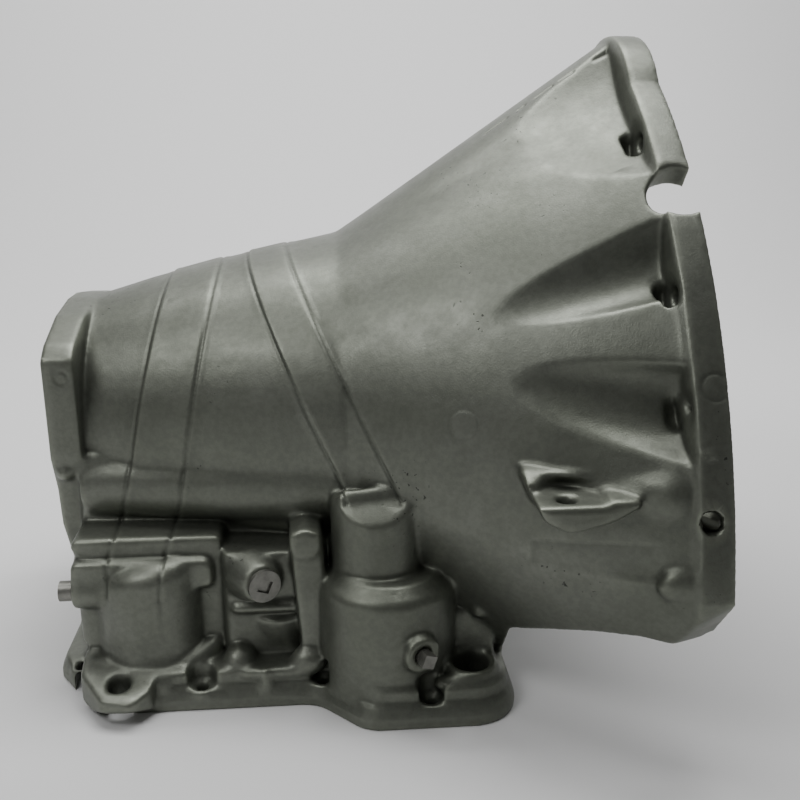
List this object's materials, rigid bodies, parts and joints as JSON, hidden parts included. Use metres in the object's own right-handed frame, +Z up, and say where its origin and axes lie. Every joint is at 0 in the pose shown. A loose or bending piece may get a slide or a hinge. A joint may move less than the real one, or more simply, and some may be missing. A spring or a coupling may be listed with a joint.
{
  "type": "gearbox housing",
  "caption": "One-piece cast gearbox housing: bell with engine flange, barrel, extension flange, servo cylinders and oil pan rail.",
  "frame": {"origin": "on the shaft axis in the engine mating face, midway between the engine dowels", "axes": "+X forward along the shaft axis out of the engine face, +Y to the vehicle's left, +Z up"},
  "size_m": [0.396, 0.478, 0.411],
  "materials": {
    "cast_case": "satin",
    "plated_steel": "satin",
    "bright_steel": "satin",
    "seal_rubber": "matte"
  },
  "bodies": {
    "root": {"case": "cast_case", "servo_pressure_plug": "plated_steel", "governor_pressure_plug": "plated_steel", "line_pressure_plug": "plated_steel", "rear_gallery_plug": "plated_steel", "band_adjusting_screw": "plated_steel", "adjuster_lock_nut": "plated_steel", "clutch_cam": "bright_steel", "cam_set_screw": "bright_steel", "kickdown_lever_pin": "bright_steel", "reverse_lever_pin": "bright_steel", "reverse_pin_plug": "bright_steel", "manual_shaft_seal": "seal_rubber"}
  },
  "joints": []
}
